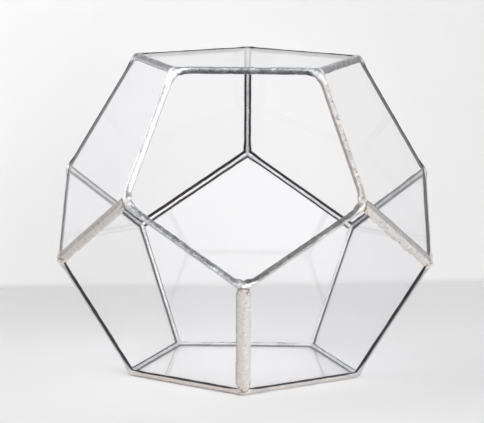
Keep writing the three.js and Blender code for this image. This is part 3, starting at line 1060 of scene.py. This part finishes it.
# Painted shade: how much each of these panes is greyed, from 0 to 1
PANE_PAINTED_SHADE = {
    "pane_upper_4": 0.8, "pane_upper_1": 0.15, "pane_lower_1": 0.6, "pane_lower_2": 0.3,
    "pane_lower_0": 0.05, "pane_top": 0.45,
}
WIDE_NODES = ("seam_leg_0", "seam_belt_rise_4", "seam_belt_fall_0")


class TERRARIUM_OT_glass(bpy.types.Operator):
    """Gives the frame's eleven panes clear, faintly smudged glass, some greyed by painted shade"""

    bl_idname = "terrarium.glass"
    bl_label = "Glass panes"

    def execute(self, context):
        finishes = context.scene.terrarium_finishes
        glass = make_material("Clear pane glass", glass_shader, finishes)
        panes = {name: o for name, o in frame["nodes"].items() if name.startswith("pane_")}
        if not panes:
            raise RuntimeError("the frame holds no pane")
        for name, pane in panes.items():
            pane.data.materials.clear()
            pane.data.materials.append(glass)
            grey = pane.data.attributes.new("grey", "FLOAT", "POINT")
            grey.data.foreach_set("value", [PANE_PAINTED_SHADE.get(name, 0.0)] * len(pane.data.vertices))
        return {"FINISHED"}


class TERRARIUM_OT_foil(bpy.types.Operator):
    """Folds a strip of foil round the edge of each pane"""

    bl_idname = "terrarium.foil"
    bl_label = "Foil strips"

    def execute(self, context):
        finishes = context.scene.terrarium_finishes
        foil = make_material("Blackened foil", foil_shader, finishes)
        for face, names in faces().items():
            if face != OPENING:
                foil_border(context, face, names, foil)
        return {"FINISHED"}


class TERRARIUM_OT_seams(bpy.types.Operator):
    """Runs the bright solder seams between neighbouring panes"""

    bl_idname = "terrarium.seams"
    bl_label = "Solder seams"

    def execute(self, context):
        nodes = [n for n in frame["nodes"] if n.startswith("seam_") and n not in WIDE_NODES]
        solder_piece(context, "plain_solder_seams", PLAIN, nodes)
        return {"FINISHED"}


class TERRARIUM_OT_wide_seams(bpy.types.Operator):
    """Runs the three wide, dull seams that leave the opening's low corners"""

    bl_idname = "terrarium.wide_seams"
    bl_label = "Wide seams"

    def execute(self, context):
        solder_piece(context, "wide_solder_seams", WIDE, WIDE_NODES)
        return {"FINISHED"}


class TERRARIUM_OT_rim(bpy.types.Operator):
    """Wraps the opening's five pane edges in a rounded solder rim"""

    bl_idname = "terrarium.rim"
    bl_label = "Opening rim"

    def execute(self, context):
        nodes = [n for n in frame["nodes"] if n.startswith("rim_")]
        solder_piece(context, "opening_rim", RIM, nodes)
        return {"FINISHED"}


# Stage

FLOOR_RADIUS = 3.4
# Where the floor's painted shade begins and ends, front to back
FLOOR_NEAR, FLOOR_FAR = -0.16, 0.26
# A painted pool of light under the terrarium: its radius, where it fades out, and how much paler
FLOOR_PAINTED_POOL, FLOOR_PAINTED_POOL_EDGE, FLOOR_PAINTED_LIGHT = 0.065, 0.09, 1.04
WALL_PLACE = (0.0, 0.285, 0.16)
WALL_HALF = (0.45, 0.16, 1.0)
WALL_TURN = math.radians(6.8)
# Painted shade on the backdrop: its dark foot's height, and its fall to the right and upwards
WALL_FOOT_SHADE_HEIGHT = 0.0045
WALL_PAINTED_SHADE_RIGHT, WALL_PAINTED_SHADE_UP = 0.268, 0.44
# A painted pool of light on the backdrop: its centre, and how much paler it is painted
WALL_PAINTED_POOL_PLACE, WALL_PAINTED_POOL = (0.0, 0.285, 0.10), 1.07
# Each softbox's place, target, width and height, and the setting that holds its power
SOFTBOXES = {
    "left_softbox": ((-1.1, -1.1, 1.15), (0, 0, 0.1), (1.0, 1.0), "key_power"),
    "right_softbox": ((1.3, -0.7, 0.95), (0, 0, 0.1), (0.7, 0.9), "fill_power"),
    "front_softbox": ((0.0, -1.3, 1.25), (0, 0, 0.0), (0.7, 0.5), "fill_power"),
    "wall_light": ((0.1, -0.25, 1.7), (0, 0.3, 0.25), (1.4, 0.5), "wall_power"),
}
# The camera's target, distance, direction and lean in degrees, and lens
CAMERA_TARGET, CAMERA_DISTANCE = Vector((-0.00237, 0.0, 0.10279)), 1.6272
CAMERA_WAY, CAMERA_LEAN, CAMERA_LENS = (0.489, 9.253), 0.498, 189.22
# Each glow's degrees from the front, height in degrees and strength
GLOWS = (
    (-100, 40, 2.5), (-150, 5, 1.0), (-35, 5, 1.25), (0, 5, 0.75),
    (35, 5, 4.5), (75, 5, 2.0), (150, 5, 0.5), (140, 35, 1.5),
)
GLOW_SPREAD = 10


def floor_shader(w, place, studio):
    """Matt white with painted shade that darkens its far side, so it pales towards the front, and
    a painted pool of light that pales it under the terrarium.
    """
    # Painted shade: the floor darkens towards its far side
    far = w.ramp(w.node("SeparateXYZ", place).outputs["Y"], FLOOR_NEAR, FLOOR_FAR)
    tone = w.mix(far, opaque(studio.floor), opaque(studio.floor, studio.floor_depth))
    # Painted light: a pool that pales the floor under the terrarium
    reach = w.node("VectorMath", place, settings={"operation": "LENGTH"}).outputs["Value"]
    under = w.ramp(reach, FLOOR_PAINTED_POOL, FLOOR_PAINTED_POOL_EDGE, 1.0, 0.0)
    tone = w.mix(under, tone, opaque(studio.floor, FLOOR_PAINTED_LIGHT))
    return w.node("BsdfDiffuse", Color=tone, Roughness=0.5)


def wall_shader(w, place, studio):
    """Matt white with painted shade, a little darker to the right, higher up and at its foot, and
    with a painted pool of light in its middle; clear from behind.
    """
    across, _, height = w.node("SeparateXYZ", place).outputs
    # Painted shade: darker at the foot, to the right and higher up
    foot = w.ramp(height, 0.0, WALL_FOOT_SHADE_HEIGHT, studio.wall_foot, 1.0)
    right = w.times(across, WALL_PAINTED_SHADE_RIGHT)
    high = w.times(w.minus(height, 0.12), WALL_PAINTED_SHADE_UP)
    # Painted light: a pool that pales the backdrop behind the terrarium
    off = w.node("VectorMath", place, WALL_PAINTED_POOL_PLACE, settings={"operation": "DISTANCE"})
    painted_light_pool = w.ramp(off.outputs["Value"], 0.03, 0.15, WALL_PAINTED_POOL, 1.0)
    grey = w.times(painted_light_pool, w.times(foot, w.minus(1.0, w.plus(right, high))))
    shade = w.node("CombineColor", grey, grey, grey).outputs[0]
    tone = w.mix(1.0, opaque(studio.wall), shade, "MULTIPLY")
    matt = w.node("BsdfDiffuse", Color=tone, Roughness=0.5).outputs[0]
    behind = w.node("NewGeometry").outputs["Backfacing"]
    clear = w.node("BsdfTransparent").outputs[0]
    return w.node("MixShader", behind, matt, clear)


def softbox(context, name, place, target, size, watts):
    light = bpy.data.lights.new(name, "AREA")
    light.shape = "RECTANGLE"
    light.size, light.size_y = size
    light.energy = watts
    lamp = bpy.data.objects.new(name, light)
    context.scene.collection.objects.link(lamp)
    lamp.location = place
    lamp.rotation_euler = (Vector(target) - lamp.location).to_track_quat("-Z", "Y").to_euler()


def direction(azimuth, elevation):
    """The way out from the terrarium at an angle from the front and a height, in degrees."""
    turn, rise = math.radians(azimuth), math.radians(elevation)
    return Vector((
        math.sin(turn) * math.cos(rise), -math.cos(turn) * math.cos(rise), math.sin(rise),
    ))


def studio_camera(context):
    """A long lens a little above the belt, fitted to the terrarium's corners."""
    back, lean = direction(*CAMERA_WAY), math.radians(CAMERA_LEAN)
    right = Vector((0, 0, 1)).cross(back).normalized()
    up = back.cross(right)
    x_axis = right * math.cos(lean) + up * math.sin(lean)
    y_axis = up * math.cos(lean) - right * math.sin(lean)
    lens = bpy.data.cameras.new("studio_camera")
    lens.sensor_width = 36.0
    lens.lens = CAMERA_LENS
    lens.clip_end = 50.0
    camera = bpy.data.objects.new("studio_camera", lens)
    context.scene.collection.objects.link(camera)
    turn = Matrix((x_axis, y_axis, back)).transposed().to_4x4()
    camera.matrix_world = Matrix.Translation(CAMERA_TARGET + back * CAMERA_DISTANCE) @ turn
    context.scene.camera = camera


def glow(w, azimuth, elevation, strength):
    """A soft round glow in one direction of the air."""
    seen_from = w.node("TexCoord").outputs["Generated"]
    settings = {"operation": "DOT_PRODUCT"}
    near = w.node("VectorMath", seen_from, direction(azimuth, elevation), settings=settings)
    off = w.minus(near.outputs["Value"], 1.0)
    return w.times(w.math("EXPONENT", w.times(off, GLOW_SPREAD), 0.0), strength)


def studio_world(context, studio):
    world = bpy.data.worlds.new("studio_air")
    world.use_nodes = True
    world.node_tree.nodes.clear()
    w = Wiring(world.node_tree)
    path = w.node("LightPath")
    seen = w.larger(path.outputs["Is Camera Ray"], path.outputs["Is Transmission Ray"])
    air = opaque(studio.dim)
    for azimuth, elevation, strength in GLOWS:
        air = w.mix(1.0, air, glow(w, azimuth, elevation, strength), "ADD")
    tone = w.mix(seen, air, opaque(studio.pale))
    w.node("OutputWorld", w.node("Background", Color=tone, Strength=1.0).outputs[0])
    context.scene.world = world


class TERRARIUM_OT_stage(bpy.types.Operator):
    """Sets the pale floor and backdrop, the softboxes and the camera"""

    bl_idname = "terrarium.stage"
    bl_label = "Studio"

    def execute(self, context):
        studio = context.scene.terrarium_studio
        bm = bmesh.new()
        bmesh.ops.create_circle(bm, cap_ends=True, segments=96, radius=FLOOR_RADIUS)
        paint = make_material("Studio floor", floor_shader, studio)
        floor = new_object(context, "studio_floor", bm, paint)
        bm = bmesh.new()
        bmesh.ops.create_grid(bm, x_segments=1, y_segments=1, size=1.0)
        bmesh.ops.scale(bm, verts=bm.verts[:], vec=WALL_HALF)
        turn_round(bm, Matrix.Rotation(math.pi / 2, 3, "X"))
        turn_round(bm, Matrix.Rotation(WALL_TURN, 3, "Z"))
        shift(bm, WALL_PLACE)
        paint = make_material("Studio backdrop", wall_shader, studio)
        wall = new_object(context, "studio_backdrop", bm, paint)
        for name, (place, target, size, power_name) in SOFTBOXES.items():
            softbox(context, name, place, target, size, getattr(studio, power_name))
        studio_world(context, studio)
        studio_camera(context)
        context.scene.view_settings.view_transform = "Standard"
        context.scene.view_settings.look = "None"
        return {"FINISHED"}


class TERRARIUM_PT_panel(bpy.types.Panel):
    """Lists the terrarium's pieces, its sizes and its finishes"""

    bl_idname = "TERRARIUM_PT_panel"
    bl_label = "Faceted terrarium"
    bl_space_type = "VIEW_3D"
    bl_region_type = "UI"
    bl_category = "Terrarium"

    def draw(self, context):
        layout = self.layout
        for operator in OPERATORS:
            layout.operator(operator.bl_idname)
        for group in SETTINGS:
            settings = getattr(context.scene, group)
            box = layout.box()
            for name in settings.__annotations__:
                box.prop(settings, name)


OPERATORS = (
    TERRARIUM_OT_glass,
    TERRARIUM_OT_foil,
    TERRARIUM_OT_seams,
    TERRARIUM_OT_wide_seams,
    TERRARIUM_OT_rim,
    TERRARIUM_OT_stage,
)
SETTINGS = {
    "terrarium_sizes": TerrariumSizes,
    "terrarium_finishes": TerrariumFinishes,
    "terrarium_studio": TerrariumStudio,
}
CLASSES = (*SETTINGS.values(), *OPERATORS, TERRARIUM_PT_panel)


def register():
    for cls in CLASSES:
        bpy.utils.register_class(cls)
    for name, group in SETTINGS.items():
        setattr(bpy.types.Scene, name, PointerProperty(type=group))


def unregister():
    for name in SETTINGS:
        delattr(bpy.types.Scene, name)
    for cls in reversed(CLASSES):
        bpy.utils.unregister_class(cls)


def main():
    register()
    bpy.ops.terrarium.glass()
    bpy.ops.terrarium.foil()
    bpy.ops.terrarium.seams()
    bpy.ops.terrarium.wide_seams()
    bpy.ops.terrarium.rim()
    bpy.ops.terrarium.stage()
    bpy.data.meshes.remove(bpy.data.meshes["solder_network"])


if __name__ == "__main__":
    main()
